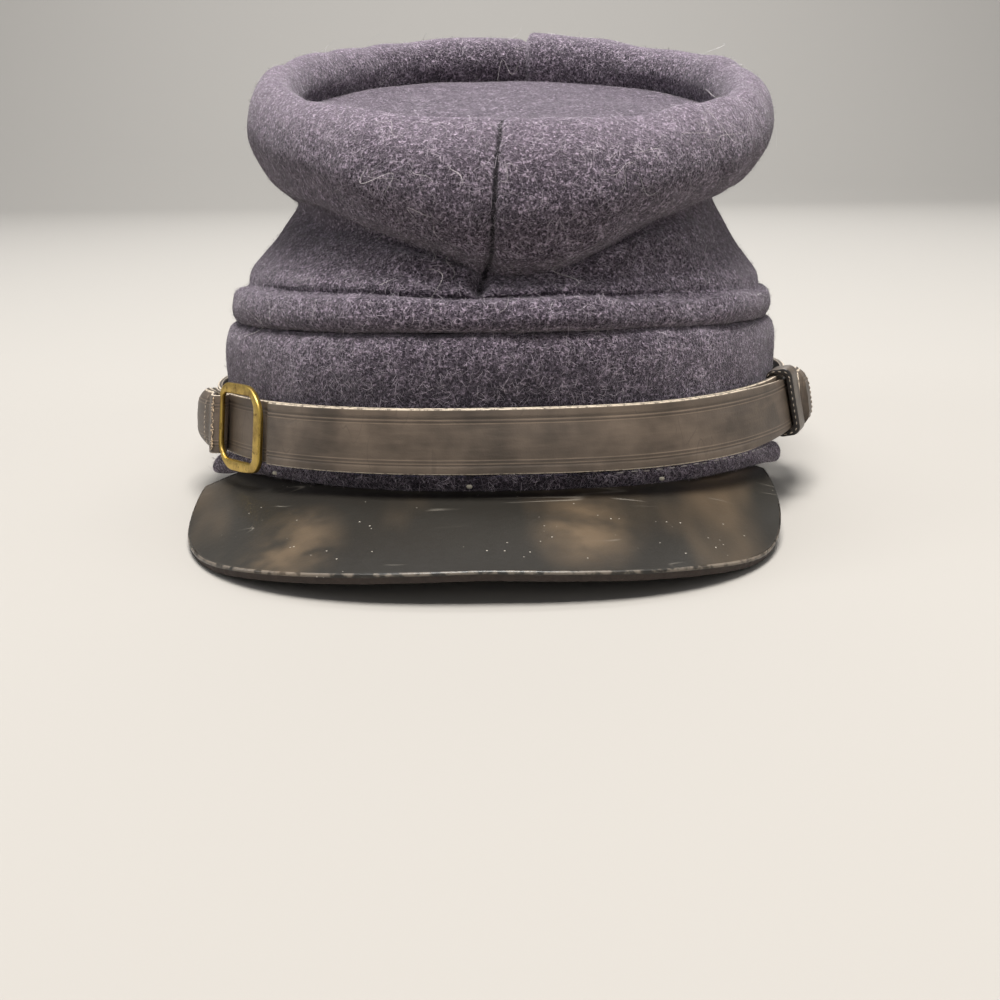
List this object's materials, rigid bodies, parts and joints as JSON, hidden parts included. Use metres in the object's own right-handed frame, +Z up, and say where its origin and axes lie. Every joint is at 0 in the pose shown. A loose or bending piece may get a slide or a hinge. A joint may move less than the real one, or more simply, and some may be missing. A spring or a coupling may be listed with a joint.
{
  "type": "kepi cap",
  "caption": "Soft wool forage cap with a forward-leaning sunken round top, rolled rim, flat band, leather peak and buckled leather chin strap.",
  "frame": {"origin": "on the surface that the cap rests on, under the middle of its bounding box", "axes": "+Z up from that surface; -Y towards the peak, so the cap's front faces -Y; +X to the wearer's left, which is the right of someone looking at the front"},
  "size_m": [0.1802, 0.2402, 0.1331],
  "materials": {
    "wool": "felted dark navy wool",
    "peak_leather": "black painted leather, satin gloss",
    "strap_leather": "dark brown leather, satin",
    "brass": "aged brass"
  },
  "bodies": {
    "root": {"band": "wool", "crown_roll": "wool", "crown_side": "wool", "crown_rim": "wool", "crown_top": "wool", "peak": "peak_leather", "strap_under": "strap_leather", "strap_over": "strap_leather", "buckle": "brass", "buckle_tab": "strap_leather", "keeper": "strap_leather", "keeper_tab": "strap_leather", "side_button_left": "brass", "side_button_right": "brass"}
  },
  "joints": []
}
